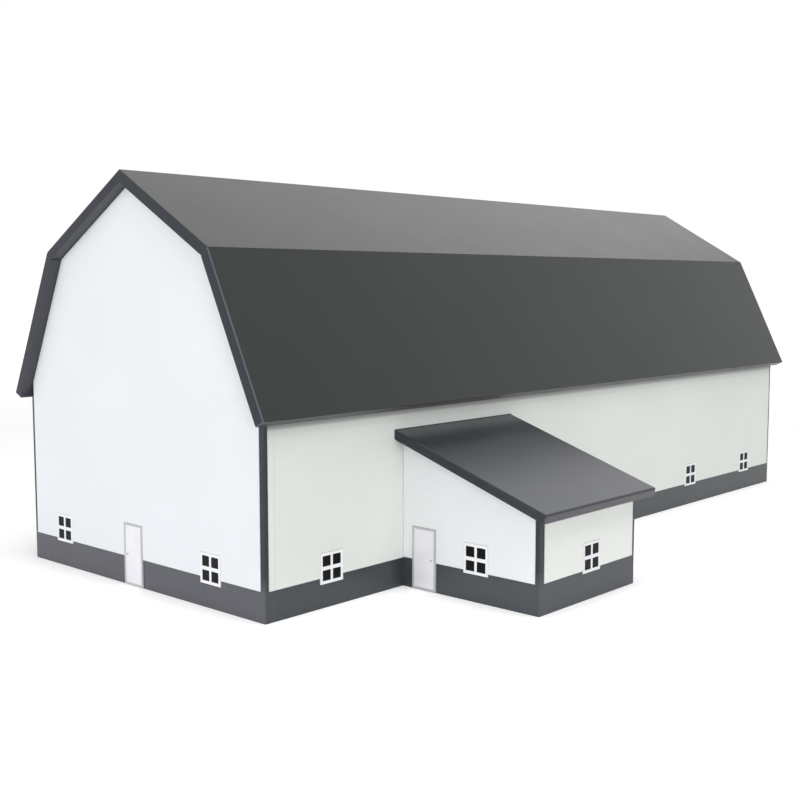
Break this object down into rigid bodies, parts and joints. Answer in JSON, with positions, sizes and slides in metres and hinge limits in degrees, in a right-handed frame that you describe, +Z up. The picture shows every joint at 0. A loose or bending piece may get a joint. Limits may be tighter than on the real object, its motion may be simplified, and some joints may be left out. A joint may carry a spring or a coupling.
{
  "type": "toy dairy barn",
  "caption": "Toy dairy barn of painted boards: gambrel roof whose rear half opens as a hinged lid, white siding over a dark foot band, lean-to milk house, small windows and doors.",
  "frame": {"origin": "middle of the barn floor's underside, on the surface that the toy stands on", "axes": "+X along the ridge, away from the door gable; +Y from the milk house's side to the rear wall; +Z up"},
  "size_m": [0.585, 0.3263, 0.2316],
  "materials": {
    "painted_board": "satin charcoal paint on board",
    "inner_block": "bare softwood",
    "siding_sheet": "smooth white sheet",
    "window_plate": "smooth white",
    "window_film": "near-black film",
    "door_leaf": "smooth white",
    "door_frame": "smooth grey",
    "door_knob": "dark dot",
    "hinge_steel": "plain steel"
  },
  "bodies": {
    "barn": {"door_frame_barn": "door_frame", "door_frame_milk_house": "door_frame", "door_knobs": "door_knob", "door_leaf_barn": "door_leaf", "door_leaf_milk_house": "door_leaf", "floor_board": "painted_board", "gable_wall_door": "painted_board", "gable_wall_far": "painted_board", "hinge_pin_1": "hinge_steel", "hinge_pin_2": "hinge_steel", "hinge_strip_leaf_1": "hinge_steel", "hinge_strip_leaf_2": "hinge_steel", "hinge_strip_screws": "hinge_steel", "knee_batten_front": "inner_block", "milk_house_door_wall": "painted_board", "milk_house_far_wall": "painted_board", "milk_house_floor": "painted_board", "milk_house_outer_wall": "painted_board", "milk_house_roof": "painted_board", "ridge_beam": "inner_block", "roof_front_lower": "painted_board", "roof_front_upper": "painted_board", "roof_hinge_strip": "painted_board", "side_wall_front": "painted_board", "side_wall_rear": "painted_board", "siding_front": "siding_sheet", "siding_gable_door": "siding_sheet", "siding_gable_far": "siding_sheet", "siding_milk_door_wall": "siding_sheet", "siding_milk_far_wall": "siding_sheet", "siding_milk_outer_wall": "siding_sheet", "siding_rear": "siding_sheet", "window_front_1": "window_plate", "window_front_2": "window_plate", "window_front_3": "window_plate", "window_front_4": "window_plate", "window_front_5": "window_plate", "window_gable_door_1": "window_plate", "window_gable_door_2": "window_plate", "window_gable_far_1": "window_plate", "window_gable_far_2": "window_plate", "window_milk_door_wall_1": "window_plate", "window_milk_far_wall_1": "window_plate", "window_milk_outer_wall_1": "window_plate", "window_panes": "window_film", "window_rear_1": "window_plate", "window_rear_2": "window_plate", "window_rear_3": "window_plate", "window_rear_4": "window_plate", "window_rear_5": "window_plate", "window_rear_6": "window_plate"},
    "roof_lid": {"hinge_lid_leaf_1": "hinge_steel", "hinge_lid_leaf_2": "hinge_steel", "hinge_lid_screws": "hinge_steel", "lid_knee_batten": "inner_block", "lid_lower_board": "painted_board", "lid_upper_board": "painted_board"}
  },
  "joints": [
    {"name": "roof_lid_hinge", "type": "hinge", "parent": "barn", "child": "roof_lid", "pos_m": [0, 0.02168, 0.22116], "axis": [1, 0, 0], "range_deg": [0, 180]}
  ]
}
